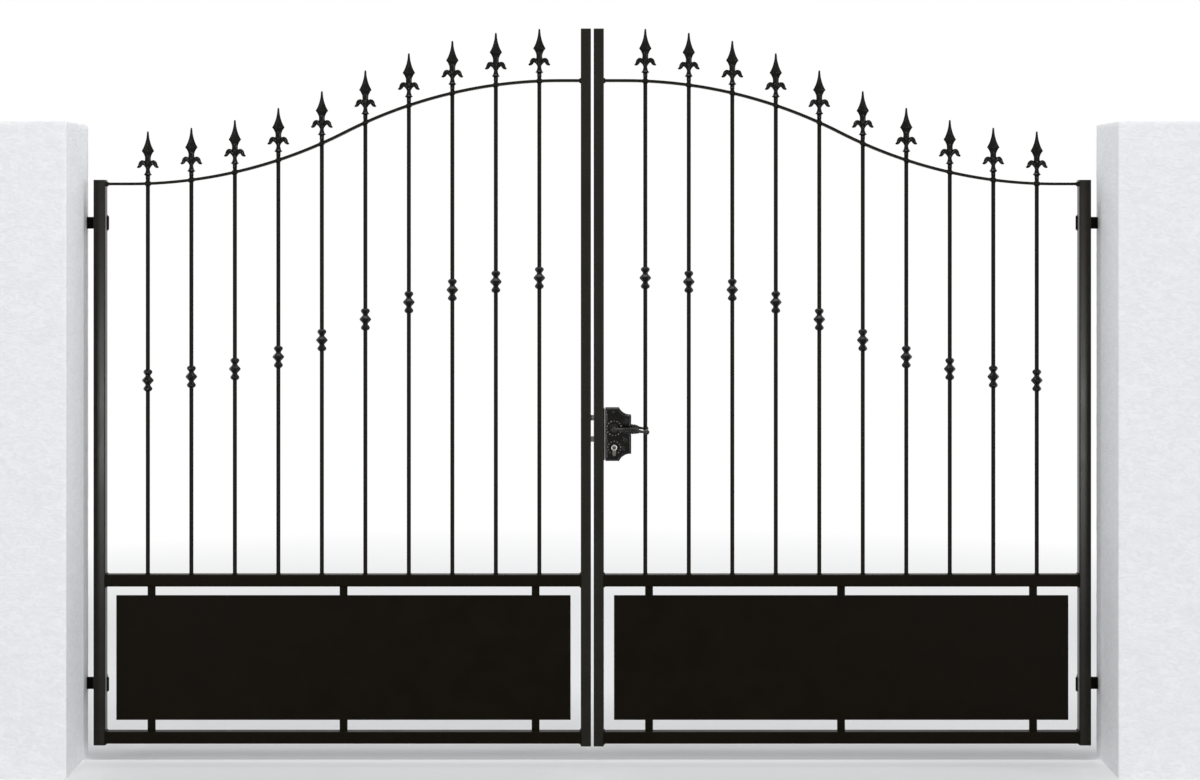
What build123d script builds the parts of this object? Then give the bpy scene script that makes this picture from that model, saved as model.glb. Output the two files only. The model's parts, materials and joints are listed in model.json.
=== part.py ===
from build123d import *
from math import atan2, cos, degrees, pi, sin, sqrt
import os

# A pair of wrought iron driveway gate leaves, hung between two rendered masonry pillars.
# Millimetres. The origin is the centre of the left pillar's base: +X runs across the
# gateway to the right pillar, +Y points inward, away from the street, and +Z is up.

os.makedirs("parts", exist_ok=True)

# Gateway and pillars
clear_opening = 3000
pillar_width = 300
pillar_depth = 300
pillar_height = 1875
pillar_arris = 3
gate_recess = 225

# Welded frame of square tube
frame_depth = 35
tube_wall = 2
tube_corner = 1.5
hinge_stile_width = 35
meeting_stile_width = 30
rail_height = 35
hinge_gap = 30
meeting_gap = 8
cap_thickness = 3
plug_depth = 12
plug_clearance = 0.2

# Heights
ground_gap = 48
kick_height = 428
infill_height = 1152
hinge_foot_drop = 5
meeting_foot_drop = 8
hinge_stile_overrun = 12
meeting_stile_overrun = 153

# Arched rail, a flat bar on edge to the ground, bent to two equal arcs
arch_rise = 305
arch_hinge_flat = 70
arch_meeting_flat = 61
arch_thickness = 8
arch_depth = 30

# Round bars through the arched rail
bar_count = 10
bar_diameter = 12
bar_sides = 8
bar_overrun = 12
fit_clearance = 0.1

# Cast collars on the bars
collar_drop = 581
collar_height = 65
collar_sides = 6
collar_middle_radius = 17
collar_bulb_radius = 12.5
collar_bulb_offset = 24.5
collar_waist_radius = 7.8
collar_waist_offset = 12.9
collar_end_radius = 8

# Cast spearheads on the bar tops
spear_reach = 154.5
stem_sides = 6
spear_stem_radius = 6.9
spear_skirt_radius = 12
spear_skirt_height = 26
spear_skirt_thickness = 3
spear_waist_radius = 5.6
spear_waist_height = 45
spear_neck_radius = 9.4
spear_neck_height = 70
blade_width = 36.6
blade_thickness = 24
blade_lower_height = 84
blade_lower_share = 0.62
blade_neck_share = 0.5
blade_shoulder_height = 96
blade_upper_height = 128
blade_upper_share = 0.27
blade_tip_width = 2.6
leaf_depth = 11
leaf_thickness = 10.5
leaf_tip_drop = 1.6
leaf_rise = 68
leaf_spread = 32
leaf_tip_height = 49

# Sheet kick panel on three flat straps
panel_side_gap = 30
panel_top_gap = 27
panel_bottom_gap = 33
panel_thickness = 2
strap_width = 23
strap_thickness = 4
strap_inset = 103.5

# Hinges: an eye let into each pillar, and a fork with a pin on each stile
upper_hinge_drop = 127
lower_hinge_rise = 174
hinge_setback = 21
eye_radius = 14
eye_height = 35
eye_strap_thickness = 8
eye_embedment = 80
pin_diameter = 12
pin_clearance = 0.05
fork_play = 0.5
ear_thickness = 6
ear_setback = 1
ear_chamfer = 7
fork_plate_thickness = 5
fork_plate_reach = 21
fork_plate_chamfer = 5
pin_head_radius = 10
pin_head_height = 6
pin_nut_height = 9

# Lock beside the right meeting stile
lock_height = 959.5
lock_gap = 4.5
lock_plate_width = 76
lock_plate_height = 155
lock_plate_thickness = 4
lock_plate_bevel = 1.5
lock_notch_width = 35.5
lock_notch_height = 21
lock_notch_sag = 6.5
lock_case_inset = 4
lock_case_wall = 2.5
lever_rise = 18.5
lever_backset = 25.9
cylinder_drop = 57
cylinder_radius = 8.5
cylinder_web = 10
cylinder_height = 33
cylinder_overhang = 4
cylinder_clearance = 0.3
window_clearance = 1
key_slot_width = 2.2
key_slot_height = 9
key_slot_depth = 12

# Lever handles
spindle_side = 8
spindle_clearance = 1.2
lever_standoff = 38
lever_neck_radius = 8
lever_rest_gap = 0.3
lever_arm_width = 9
lever_reach = 103
grip_start = 22
grip_length = 52
grip_half_width = 8.6
grip_end_half_width = 6
grip_beads = 6
grip_turn = 180
bead_taper = 14
bead_overlap = 0.6
tail_width = 7
tail_drop = 4.5
knob_radius = 7.6
knob_sides = 6
knob_taper = 28

# Bolts, thrown across the gap between the leaves
bolt_thickness = 12
bolt_height = 16
bolt_length = 62
bolt_clearance = 0.5
bolt_engagement = 4
bolt_bevel = 6
latch_rise = 30
deadbolt_drop = 33

# Places worked out from the sizes above
centre_x = pillar_width / 2 + clear_opening / 2
centre_plane = Plane.YZ.offset(centre_x)
gate_front = gate_recess - pillar_depth / 2
gate_middle = gate_front + frame_depth / 2
gate_back = gate_front + frame_depth
hinge_stile_left = pillar_width / 2 + hinge_gap
hinge_stile_x = hinge_stile_left + hinge_stile_width / 2
infill_left = hinge_stile_left + hinge_stile_width
infill_right = centre_x - meeting_gap / 2 - meeting_stile_width
infill_width = infill_right - infill_left
kick_base = ground_gap + rail_height
middle_rail_base = kick_base + kick_height
infill_base = middle_rail_base + rail_height
arch_low = infill_base + infill_height
arch_high = arch_low + arch_rise
arch_run = infill_width - arch_hinge_flat - arch_meeting_flat
arch_radius = (arch_run**2 + arch_rise**2) / (4 * arch_rise)
arch_turn = 2 * degrees(atan2(arch_rise, arch_run))
bar_radius = bar_diameter / 2
bore_radius = bar_radius + fit_clearance
bar_gap = (infill_width - bar_count * bar_diameter) / (bar_count + 1)
bar_places = [
    infill_left + bar_gap + bar_radius + turn * (bar_gap + bar_diameter)
    for turn in range(bar_count)
]
hinge_foot = ground_gap - hinge_foot_drop
hinge_head = arch_low + hinge_stile_overrun
hinge_heights = (hinge_head - upper_hinge_drop, hinge_foot + lower_hinge_rise)
hinge_axis_y = gate_back + hinge_setback
lock_side = centre_x + meeting_gap / 2 + meeting_stile_width
lever_x = lock_side + lock_gap + lever_backset
lever_height = lock_height + lever_rise
bolt_nose = centre_x - meeting_gap / 2 - bolt_engagement


def keep(piece, name):
    """Label a finished piece and write it to its own file."""
    piece.label = name
    export_step(piece, f"parts/{name}.step")


def keep_pair(piece, name):
    """Keep a piece of the left leaf, and its mirror image in the right leaf."""
    keep(piece, f"left_{name}")
    keep(mirror(piece, about=centre_plane), f"right_{name}")


def upright(y):
    """The upright plane at depth y, facing the street, with its second axis up."""
    return Plane.XZ.offset(-y)


def arch_height(x):
    """Height of the arched rail's middle line at x, in the left leaf."""
    along = min(max(x - infill_left - arch_hinge_flat, 0), arch_run)
    if along <= arch_run / 2:
        return arch_low + arch_radius - sqrt(arch_radius**2 - along**2)
    return arch_high - arch_radius + sqrt(arch_radius**2 - (arch_run - along) ** 2)


def tube_section(width, height):
    """Sketch of a square tube's wall, its outer corners eased."""
    with BuildSketch() as section:
        Rectangle(width, height)
        chamfer(section.vertices(), tube_corner)
        Rectangle(width - 2 * tube_wall, height - 2 * tube_wall, mode=Mode.SUBTRACT)
    return section.sketch


def make_stile(x, width, foot, head):
    """An upright tube between its two end caps."""
    section = tube_section(width, frame_depth)
    with BuildPart() as stile:
        with BuildSketch(Plane((x, gate_middle, foot + cap_thickness))):
            add(section)
        extrude(amount=head - foot - 2 * cap_thickness)
    return stile.part


def make_cap(x, width, face, upward):
    """A moulded end cap, its lid outside the tube and its plug inside."""
    facing = 1 if upward else -1
    seat = Plane((x, gate_middle, face - facing * cap_thickness), z_dir=(0, 0, facing))
    slack = 2 * (tube_wall + plug_clearance)
    with BuildPart() as cap:
        with BuildSketch(seat) as lid:
            Rectangle(width, frame_depth)
            chamfer(lid.vertices(), tube_corner)
        extrude(amount=cap_thickness)
        with BuildSketch(seat):
            Rectangle(width - slack, frame_depth - slack)
        extrude(amount=-plug_depth)
    return cap.part


def make_rail(base):
    """A level tube between the two stiles."""
    section = tube_section(frame_depth, rail_height)
    with BuildPart() as rail:
        with BuildSketch(Plane.YZ.offset(infill_left)):
            with Locations((gate_middle, base + rail_height / 2)):
                add(section)
        extrude(amount=infill_width)
    return rail.part


def narrowing(wide, narrow, sides):
    """Length and taper of a span of a regular shape from its wide ring to its narrow one."""
    length = narrow[0] - wide[0]
    return length, degrees(atan2((wide[1] - narrow[1]) * cos(pi / sides), length))


def barrel(radius, sides, half_length, taper):
    """A short solid, widest in the middle and narrowing evenly to both ends."""
    with BuildPart() as piece:
        with BuildSketch():
            RegularPolygon(radius, sides)
        extrude(amount=half_length, taper=taper)
        mirror(about=Plane.XY)
    return piece.part


def bolt_section(heights, clearance=0):
    """Sketch of lock bolts, seen along X at the middle of the frame's depth."""
    with BuildSketch() as section:
        with Locations([(gate_middle, height) for height in heights]):
            Rectangle(bolt_thickness + 2 * clearance, bolt_height + 2 * clearance)
    return section.sketch


# Pillars, with a pocket for each hinge strap
with BuildPart() as left_pillar:
    with BuildSketch():
        Rectangle(pillar_width, pillar_depth)
    extrude(amount=pillar_height)
    arrises = left_pillar.edges().filter_by(Axis.Z) + left_pillar.faces().sort_by(Axis.Z)[-1].edges()
    chamfer(arrises, pillar_arris)
    with BuildSketch(Plane.YZ.offset(pillar_width / 2)):
        with Locations([(hinge_axis_y, height) for height in hinge_heights]):
            Rectangle(eye_strap_thickness, eye_height)
    extrude(amount=-eye_embedment, mode=Mode.SUBTRACT)

keep_pair(left_pillar.part, "pillar")

# Hinge eye on its strap, drawn at the height of the origin
with BuildPart() as hinge_eye:
    with BuildSketch(Plane((hinge_stile_x, hinge_axis_y, 0))):
        Circle(eye_radius)
        with Locations((pillar_width / 2 - eye_embedment - hinge_stile_x, 0)):
            Rectangle(
                hinge_stile_x - pillar_width / 2 + eye_embedment,
                eye_strap_thickness,
                align=(Align.MIN, Align.CENTER),
            )
        Circle(pin_diameter / 2 + pin_clearance, mode=Mode.SUBTRACT)
    extrude(amount=eye_height / 2, both=True)

# Hinge fork: a plate let into the stile, two ears, and the pin riveted through them
ear_level = eye_height / 2 + fork_play
fork_height = 2 * (ear_level + ear_thickness)
plate_left = 2 * tube_corner - hinge_stile_width / 2
ear_width = 2 * (eye_radius - ear_setback)
ear_length = hinge_setback - fork_plate_thickness + eye_radius
with BuildPart() as hinge_fork:
    with BuildSketch(upright(gate_back)):
        with Locations((hinge_stile_x + plate_left, 0)):
            Rectangle(
                fork_plate_reach - plate_left,
                fork_height,
                align=(Align.MIN, Align.CENTER),
            )
    extrude(amount=-fork_plate_thickness)
    outer_corners = hinge_fork.edges().filter_by(Axis.Y).group_by(Axis.X)[-1]
    chamfer(outer_corners, fork_plate_chamfer)
    for ear_base in (ear_level, -ear_level - ear_thickness):
        with BuildSketch(Plane((hinge_stile_x, gate_back + fork_plate_thickness, ear_base))) as ear:
            Rectangle(ear_width, ear_length, align=(Align.CENTER, Align.MIN))
            chamfer(ear.vertices().group_by(Axis.Y)[-1], ear_chamfer)
        extrude(amount=ear_thickness)
    with BuildSketch(Plane((hinge_stile_x, hinge_axis_y, -ear_level))):
        Circle(pin_diameter / 2)
    extrude(amount=2 * ear_level)
    for side, head_height in ((1, pin_head_height), (-1, pin_nut_height)):
        with BuildSketch(Plane((hinge_stile_x, hinge_axis_y, side * fork_height / 2))):
            RegularPolygon(pin_head_radius, 6)
        extrude(amount=side * head_height)

for piece, name in ((hinge_eye.part, "hinge_eyes"), (hinge_fork.part, "hinge_forks")):
    with BuildPart() as hinge_pair:
        with Locations([(0, 0, height) for height in hinge_heights]):
            add(piece)
    keep_pair(hinge_pair.part, name)

# Hinge stiles, rails and end caps
meeting_stile_x = infill_right + meeting_stile_width / 2
meeting_foot = ground_gap - meeting_foot_drop
meeting_head = arch_high + meeting_stile_overrun
stile_ends = (
    (hinge_stile_x, hinge_stile_width, hinge_head, True),
    (hinge_stile_x, hinge_stile_width, hinge_foot, False),
    (meeting_stile_x, meeting_stile_width, meeting_head, True),
    (meeting_stile_x, meeting_stile_width, meeting_foot, False),
)
keep_pair(make_stile(hinge_stile_x, hinge_stile_width, hinge_foot, hinge_head), "hinge_stile")
keep_pair(make_rail(ground_gap), "bottom_rail")
keep_pair(make_rail(middle_rail_base), "middle_rail")
keep_pair(Part() + [make_cap(*end) for end in stile_ends], "stile_caps")

# Meeting stiles, slotted for the latch and the deadbolt
plain_stile = make_stile(meeting_stile_x, meeting_stile_width, meeting_foot, meeting_head)
mirrored_stile = mirror(plain_stile, about=centre_plane)
latch_height = lever_height + latch_rise
deadbolt_height = lever_height - deadbolt_drop
slots = bolt_section((latch_height, deadbolt_height), bolt_clearance)
with BuildPart() as left_meeting_stile:
    add(plain_stile)
    with BuildSketch(Plane.YZ.offset(centre_x - meeting_gap / 2)):
        add(slots)
    extrude(amount=-2 * tube_wall, mode=Mode.SUBTRACT)

with BuildPart() as right_meeting_stile:
    add(mirrored_stile)
    with BuildSketch(Plane.YZ.offset(lock_side)):
        add(slots)
    extrude(amount=-meeting_stile_width, mode=Mode.SUBTRACT)

keep(left_meeting_stile.part, "left_meeting_stile")
keep(right_meeting_stile.part, "right_meeting_stile")

# Arched rail, pierced for the bars
with BuildPart() as arched_rail:
    with BuildLine(upright(gate_middle)) as arch:
        flat_end = (infill_left + arch_hinge_flat, arch_low)
        Line((infill_left, arch_low), flat_end)
        rising = JernArc(flat_end, (1, 0), arch_radius, arch_turn)
        easing = JernArc(rising @ 1, rising % 1, arch_radius, -arch_turn)
        Line(easing @ 1, (infill_right, arch_high))
    with BuildSketch(Plane.YZ.offset(infill_left)):
        with Locations((gate_middle, arch_low)):
            Rectangle(arch_depth, arch_thickness)
    sweep(path=arch.wires()[0])
    with BuildSketch():
        with Locations([(x, gate_middle) for x in bar_places]):
            RegularPolygon(bore_radius, bar_sides, major_radius=False)
    extrude(amount=arch_high + arch_thickness, mode=Mode.SUBTRACT)

keep_pair(arched_rail.part, "arched_rail")

# Round bars, from the middle rail to just over the arched rail
with BuildPart() as bars:
    for x in bar_places:
        with BuildSketch(Plane((x, gate_middle, infill_base))):
            RegularPolygon(bar_radius, bar_sides, major_radius=False)
        extrude(amount=arch_height(x) + bar_overrun - infill_base)

keep_pair(bars.part, "bars")

# Cast collar: a sharp middle between two bulbs, bored for the bar
collar_spans = (
    ((0, collar_middle_radius), (collar_waist_offset, collar_waist_radius)),
    ((-collar_bulb_offset, collar_bulb_radius), (-collar_waist_offset, collar_waist_radius)),
    ((collar_bulb_offset, collar_bulb_radius), (collar_height / 2, collar_end_radius)),
)
with BuildPart() as collar:
    for wide, narrow in collar_spans:
        length, taper = narrowing(wide, narrow, collar_sides)
        with BuildSketch(Plane.XY.offset(wide[0])):
            RegularPolygon(wide[1], collar_sides)
        extrude(amount=length, taper=taper)
    mirror(about=Plane.XY)
    with BuildSketch(Plane.XY.offset(-collar_height / 2)):
        RegularPolygon(bore_radius, bar_sides, major_radius=False)
    extrude(amount=collar_height, mode=Mode.SUBTRACT)

with BuildPart() as bar_collars:
    for x in bar_places:
        with Locations((x, gate_middle, arch_height(x) - collar_drop)):
            add(collar.part)

keep_pair(bar_collars.part, "bar_collars")

# Cast spearhead: skirted stem, two curled leaves and a four-sided blade
blade_edge = sqrt(blade_width**2 + blade_thickness**2)
blade_inset = blade_width * blade_thickness / blade_edge / 2
rising_rings = (
    ((spear_skirt_height, spear_skirt_radius), (spear_waist_height, spear_waist_radius)),
)
stem_height = spear_skirt_height - spear_skirt_thickness
hanging_rings = (
    ((-spear_skirt_height, spear_skirt_radius), (-stem_height, spear_stem_radius)),
    ((-spear_neck_height, spear_neck_radius), (-spear_waist_height, spear_waist_radius)),
)
rising_blade = (
    (blade_shoulder_height, 1, blade_upper_height, blade_upper_share),
    (blade_upper_height, blade_upper_share, spear_reach, blade_tip_width / blade_width),
)
hanging_blade = (
    (-blade_shoulder_height, 1, -blade_lower_height, blade_lower_share),
    (-blade_lower_height, blade_lower_share, -spear_neck_height, blade_neck_share),
)


def make_tapers(rings, blade):
    """The parts of a spearhead that narrow upwards, round rings first and then the blade."""
    with BuildPart() as tapers:
        for wide, narrow in rings:
            length, taper = narrowing(wide, narrow, stem_sides)
            with BuildSketch(Plane.XY.offset(wide[0])):
                RegularPolygon(wide[1], stem_sides)
            extrude(amount=length, taper=taper)
        for level, share, next_level, next_share in blade:
            with BuildSketch(Plane.XY.offset(level)):
                with BuildLine():
                    Polyline(
                        (-blade_width / 2 * share, 0),
                        (0, -blade_thickness / 2 * share),
                        (blade_width / 2 * share, 0),
                        (0, blade_thickness / 2 * share),
                        close=True,
                    )
                make_face()
            inset = blade_inset * (share - next_share)
            extrude(
                amount=next_level - level,
                taper=degrees(atan2(inset, next_level - level)),
            )
    return tapers.part


with BuildPart() as spear_leaves:
    with BuildSketch(Plane.XZ):
        with BuildLine():
            Polyline(
                (0, leaf_rise - leaf_thickness / 2),
                (leaf_spread * 0.44, leaf_rise),
                (leaf_spread * 0.7, leaf_rise - leaf_thickness / 3),
                (leaf_spread * 0.84, leaf_rise - leaf_thickness),
                (leaf_spread, leaf_tip_height),
                (leaf_spread * 0.74, leaf_tip_height - leaf_tip_drop),
                (leaf_spread * 0.56, leaf_rise - leaf_thickness * 1.4),
                (leaf_spread * 0.44, leaf_rise - leaf_thickness),
                (0, leaf_rise - leaf_thickness * 1.8),
                close=True,
            )
        make_face()
        mirror(about=Plane.YZ)
    extrude(amount=leaf_depth / 2, both=True)
    with BuildSketch():
        with BuildLine():
            Polyline(
                (leaf_spread, 0),
                (leaf_spread / 2, leaf_depth / 2),
                (-leaf_spread / 2, leaf_depth / 2),
                (-leaf_spread, 0),
                (-leaf_spread / 2, -leaf_depth / 2),
                (leaf_spread / 2, -leaf_depth / 2),
                close=True,
            )
        make_face()
    extrude(amount=leaf_rise, mode=Mode.INTERSECT)

with BuildPart() as spearhead:
    with BuildSketch(Plane.XY.offset(bar_overrun)):
        RegularPolygon(spear_stem_radius, stem_sides)
    extrude(amount=stem_height - bar_overrun)
    add(make_tapers(rising_rings, rising_blade))
    add(mirror(make_tapers(hanging_rings, hanging_blade), about=Plane.XY))
    add(spear_leaves.part)

with BuildPart() as spear_finials:
    for x in bar_places:
        with Locations((x, gate_middle, arch_height(x))):
            add(spearhead.part)

keep_pair(spear_finials.part, "spear_finials")

# Kick panel and the straps that carry it
panel_width = infill_width - 2 * panel_side_gap
panel_base = kick_base + panel_bottom_gap
panel_back = gate_middle - strap_thickness / 2
with BuildPart() as kick_panel:
    with BuildSketch(upright(panel_back)):
        with Locations((infill_left + panel_side_gap, panel_base)):
            Rectangle(
                panel_width,
                kick_height - panel_bottom_gap - panel_top_gap,
                align=(Align.MIN, Align.MIN),
            )
    extrude(amount=panel_thickness)

panel_middle_x = infill_left + infill_width / 2
strap_spacing = panel_width / 2 - strap_inset
with BuildPart() as panel_straps:
    with BuildSketch(upright(panel_back)):
        with Locations([(panel_middle_x + side * strap_spacing, kick_base) for side in (-1, 0, 1)]):
            Rectangle(strap_width, kick_height, align=(Align.CENTER, Align.MIN))
    extrude(amount=-strap_thickness)

keep_pair(kick_panel.part, "kick_panel")
keep_pair(panel_straps.part, "panel_straps")


def lock_outline(left, inset):
    """Outline of the lock, its two outer corners cut back by hollow arcs."""
    right = lock_side + lock_gap + lock_plate_width - inset
    top = lock_height + lock_plate_height / 2 - inset
    bottom = lock_height - lock_plate_height / 2 + inset
    with BuildSketch() as outline:
        with BuildLine():
            Line((left, bottom), (left, top))
            Line((left, top), (right - lock_notch_width, top))
            SagittaArc(
                (right - lock_notch_width, top),
                (right, top - lock_notch_height),
                -lock_notch_sag,
            )
            Line((right, top - lock_notch_height), (right, bottom + lock_notch_height))
            SagittaArc(
                (right, bottom + lock_notch_height),
                (right - lock_notch_width, bottom),
                -lock_notch_sag,
            )
            Line((right - lock_notch_width, bottom), (left, bottom))
        make_face()
    return outline.sketch


def cylinder_outline(clearance=0):
    """Outline of a profile cylinder: a round plug over a narrow web."""
    radius = cylinder_radius + clearance
    web = cylinder_web / 2 + clearance
    foot = cylinder_radius - cylinder_height - clearance + web
    with BuildSketch() as outline:
        with Locations((lever_x, lever_height - cylinder_drop)):
            Circle(radius)
            Rectangle(2 * web, -foot, align=(Align.CENTER, Align.MAX))
            with Locations((0, foot)):
                Circle(web)
    return outline.sketch


# Lock case, open to the stile that it is welded to
case_outline = lock_outline(lock_side, lock_case_inset)
case_hollow = lock_outline(lock_side, lock_case_inset + lock_case_wall)
cylinder_hole = cylinder_outline(cylinder_clearance)
with BuildPart() as lock_case:
    with BuildSketch(upright(gate_front)):
        add(case_outline)
    extrude(amount=-frame_depth)
    with BuildSketch(upright(gate_front + lock_case_wall)):
        add(case_hollow)
    extrude(amount=2 * lock_case_wall - frame_depth, mode=Mode.SUBTRACT)
    with BuildSketch(upright(gate_front)):
        with Locations((lever_x, lever_height)):
            RegularPolygon(spindle_side / sqrt(2) + spindle_clearance, 8, major_radius=False)
        with Locations((lever_x, lever_height - cylinder_drop + cylinder_radius + window_clearance)):
            Rectangle(
                2 * (cylinder_radius + window_clearance),
                cylinder_height + 2 * window_clearance,
                align=(Align.CENTER, Align.MAX),
            )
    extrude(amount=-frame_depth, mode=Mode.SUBTRACT)

keep(lock_case.part, "lock_case")

# Front and rear lock plates, bevelled on their outer face
plate_outline = lock_outline(lock_side + lock_gap, 0)
for face_name, face_y, facing in (("front", gate_front, 1), ("rear", gate_back, -1)):
    with BuildPart() as lock_plate:
        with BuildSketch(upright(face_y)):
            add(plate_outline)
        extrude(amount=facing * lock_plate_thickness)
        outer_face = lock_plate.faces().sort_by(Axis.Y)[0 if facing == 1 else -1]
        chamfer(outer_face.edges(), lock_plate_bevel)
        with BuildSketch(upright(face_y)):
            add(cylinder_hole)
            with Locations((lever_x, lever_height)):
                Circle(lever_neck_radius + pin_clearance)
        extrude(amount=facing * lock_plate_thickness, mode=Mode.SUBTRACT)
    keep(lock_plate.part, f"{face_name}_lock_plate")

# Profile cylinder, keyed from both sides
cylinder_body = cylinder_outline()
cylinder_reach = lock_plate_thickness + cylinder_overhang
with BuildPart() as lock_cylinder:
    with BuildSketch(upright(gate_middle)):
        add(cylinder_body)
    extrude(amount=frame_depth / 2 + cylinder_reach, both=True)
    for key_y, inward in ((gate_front - cylinder_reach, -1), (gate_back + cylinder_reach, 1)):
        with BuildSketch(upright(key_y)):
            with Locations((lever_x, lever_height - cylinder_drop)):
                Rectangle(key_slot_width, key_slot_height)
        extrude(amount=inward * key_slot_depth, mode=Mode.SUBTRACT)

keep(lock_cylinder.part, "lock_cylinder")

# Spindle and the two lever handles with twisted grips
plate_face = gate_front - lock_plate_thickness
grip_y = plate_face - lever_standoff


def across(x, slope=0, drop=0):
    """The plane across the front lever at x, leaning by slope, its middle lowered by drop."""
    return Plane(
        (x, grip_y, lever_height - drop),
        x_dir=(0, 1, 0),
        z_dir=(cos(slope), 0, -sin(slope)),
    )


bead_length = grip_length / grip_beads
tail_length = lever_reach - knob_radius - grip_start - grip_length
tail_slope = atan2(tail_drop, tail_length)

with BuildPart() as spindle:
    with BuildSketch(upright(gate_middle)):
        with Locations((lever_x, lever_height)):
            Rectangle(spindle_side, spindle_side)
    extrude(amount=gate_middle - grip_y - lever_neck_radius, both=True)

with BuildPart() as front_lever:
    with BuildSketch(upright(gate_front - lever_rest_gap)):
        with Locations((lever_x, lever_height)):
            Circle(lever_neck_radius)
    extrude(amount=gate_front - lever_rest_gap - grip_y + lever_neck_radius)
    with BuildSketch(across(lever_x)):
        Rectangle(lever_arm_width, lever_arm_width)
    extrude(amount=grip_start + bead_length / 2)
    for bead in range(grip_beads):
        along = (bead + 0.5) / grip_beads
        swell = 4 * along * (1 - along)
        half_width = grip_end_half_width + (grip_half_width - grip_end_half_width) * swell
        with Locations(across(lever_x + grip_start + grip_length * along)):
            with Locations(Rotation(0, 0, grip_turn * along)):
                add(barrel(half_width, 4, bead_length * bead_overlap, bead_taper))
    with BuildSketch(across(lever_x + grip_start + grip_length - bead_length / 2, tail_slope)):
        Rectangle(tail_width, tail_width)
    extrude(amount=tail_length + bead_length / 2)
    with Locations(across(lever_x + lever_reach - knob_radius, 0, tail_drop)):
        add(barrel(knob_radius, knob_sides, knob_radius, knob_taper))
    add(spindle.part, mode=Mode.SUBTRACT)

keep(front_lever.part, "front_lever")
keep(mirror(front_lever.part, about=Plane.XZ.offset(-gate_middle)), "rear_lever")
keep(spindle.part, "spindle")

# Latch bolt with a bevelled nose, and square deadbolt
with BuildPart() as latch_bolt:
    with BuildSketch(Plane.YZ.offset(bolt_nose)):
        add(bolt_section([latch_height]))
    extrude(amount=bolt_length)
    nose_edge = latch_bolt.faces().sort_by(Axis.X)[0].edges().sort_by(Axis.Y)[0]
    chamfer(nose_edge, bolt_bevel)

with BuildPart() as deadbolt:
    with BuildSketch(Plane.YZ.offset(bolt_nose)):
        add(bolt_section([deadbolt_height]))
    extrude(amount=bolt_length)

keep(latch_bolt.part, "latch_bolt")
keep(deadbolt.part, "deadbolt")
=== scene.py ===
import json
import random
from math import atan2, cos, hypot, pi, radians, sin, sqrt, tau

import bmesh
import bpy
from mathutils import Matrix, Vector, noise


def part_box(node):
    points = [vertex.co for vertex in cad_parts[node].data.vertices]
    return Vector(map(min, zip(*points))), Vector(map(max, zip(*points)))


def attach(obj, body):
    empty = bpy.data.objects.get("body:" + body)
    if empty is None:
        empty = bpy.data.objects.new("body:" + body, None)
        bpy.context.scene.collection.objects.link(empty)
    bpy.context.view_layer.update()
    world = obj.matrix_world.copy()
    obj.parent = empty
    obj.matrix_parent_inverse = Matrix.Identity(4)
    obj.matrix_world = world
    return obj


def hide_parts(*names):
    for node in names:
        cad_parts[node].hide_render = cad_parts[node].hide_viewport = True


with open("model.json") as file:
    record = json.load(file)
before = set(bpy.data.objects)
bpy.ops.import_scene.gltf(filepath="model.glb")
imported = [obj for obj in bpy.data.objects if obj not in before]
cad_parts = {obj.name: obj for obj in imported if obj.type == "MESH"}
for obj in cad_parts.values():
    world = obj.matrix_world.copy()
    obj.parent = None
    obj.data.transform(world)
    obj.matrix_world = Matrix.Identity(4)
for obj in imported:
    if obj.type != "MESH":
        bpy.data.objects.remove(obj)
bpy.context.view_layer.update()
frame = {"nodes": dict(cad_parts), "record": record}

# Two wrought iron driveway gate leaves between rendered pillars. Shapes are drawn in
# millimetres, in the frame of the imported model. The ironwork of the left leaf is mirrored for
# the right one, and the lock's front furniture for its rear.

MM = 0.001
scene = bpy.context.scene
nodes = frame["nodes"]
random.seed(11)


def node_box(name):
    """A node's lowest and highest corner, in millimetres."""
    return [[round(value / MM, 3) for value in corner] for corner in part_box(name)]


def node_middle(name):
    """The middle of a node's box, in millimetres."""
    return [(low + high) / 2 for low, high in zip(*node_box(name))]


# Directions
upward = (0, 0, 1)
inward = (0, 1, 0)

# Frame of the left leaf
centre_x = (node_middle("left_pillar")[0] + node_middle("right_pillar")[0]) / 2
hinge_stile_low, hinge_stile_high = node_box("left_hinge_stile")
gate_front = hinge_stile_low[1]
gate_back = hinge_stile_high[1]
gate_middle = (gate_front + gate_back) / 2
infill_left = hinge_stile_high[0]
infill_right = node_box("left_meeting_stile")[0][0]
bottom_rail = [corner[2] for corner in node_box("left_bottom_rail")]
middle_rail = [corner[2] for corner in node_box("left_middle_rail")]
tube_wall = 2
tube_corner = 3

# Caps of the stiles, as height over the stile's end and distance in from its faces
plug_depth = 12
plug_inset = 2.2
cap_corner = 0.8
cap_levels = (
    (-plug_depth, plug_inset + 1), (-plug_depth + 1.5, plug_inset), (0, plug_inset),
    (0, 0), (1.6, 0), (2.3, 0.25), (2.8, 0.9), (3, 1.8),
)

# Arched rail
arch_box_low, arch_box_high = node_box("left_arched_rail")
arch_thickness = 8
arch_depth = arch_box_high[1] - arch_box_low[1]
arch_low = arch_box_low[2] + arch_thickness / 2
arch_high = arch_box_high[2] - arch_thickness / 2
arch_rise = arch_high - arch_low
arch_hinge_flat = 70
arch_meeting_flat = 61
arch_start = infill_left + arch_hinge_flat
arch_run = infill_right - arch_meeting_flat - arch_start
arch_radius = (arch_run ** 2 + arch_rise ** 2) / (4 * arch_rise)
arch_edge = 1.1
arch_steps = 44

# Bars
bar_count = 10
bar_radius = 6
bar_sides = 24
bar_overrun = 12
bar_gap = (infill_right - infill_left - 2 * bar_radius * bar_count) / (bar_count + 1)
bar_places = [
    infill_left + bar_gap + bar_radius + number * (bar_gap + 2 * bar_radius)
    for number in range(bar_count)
]

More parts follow.
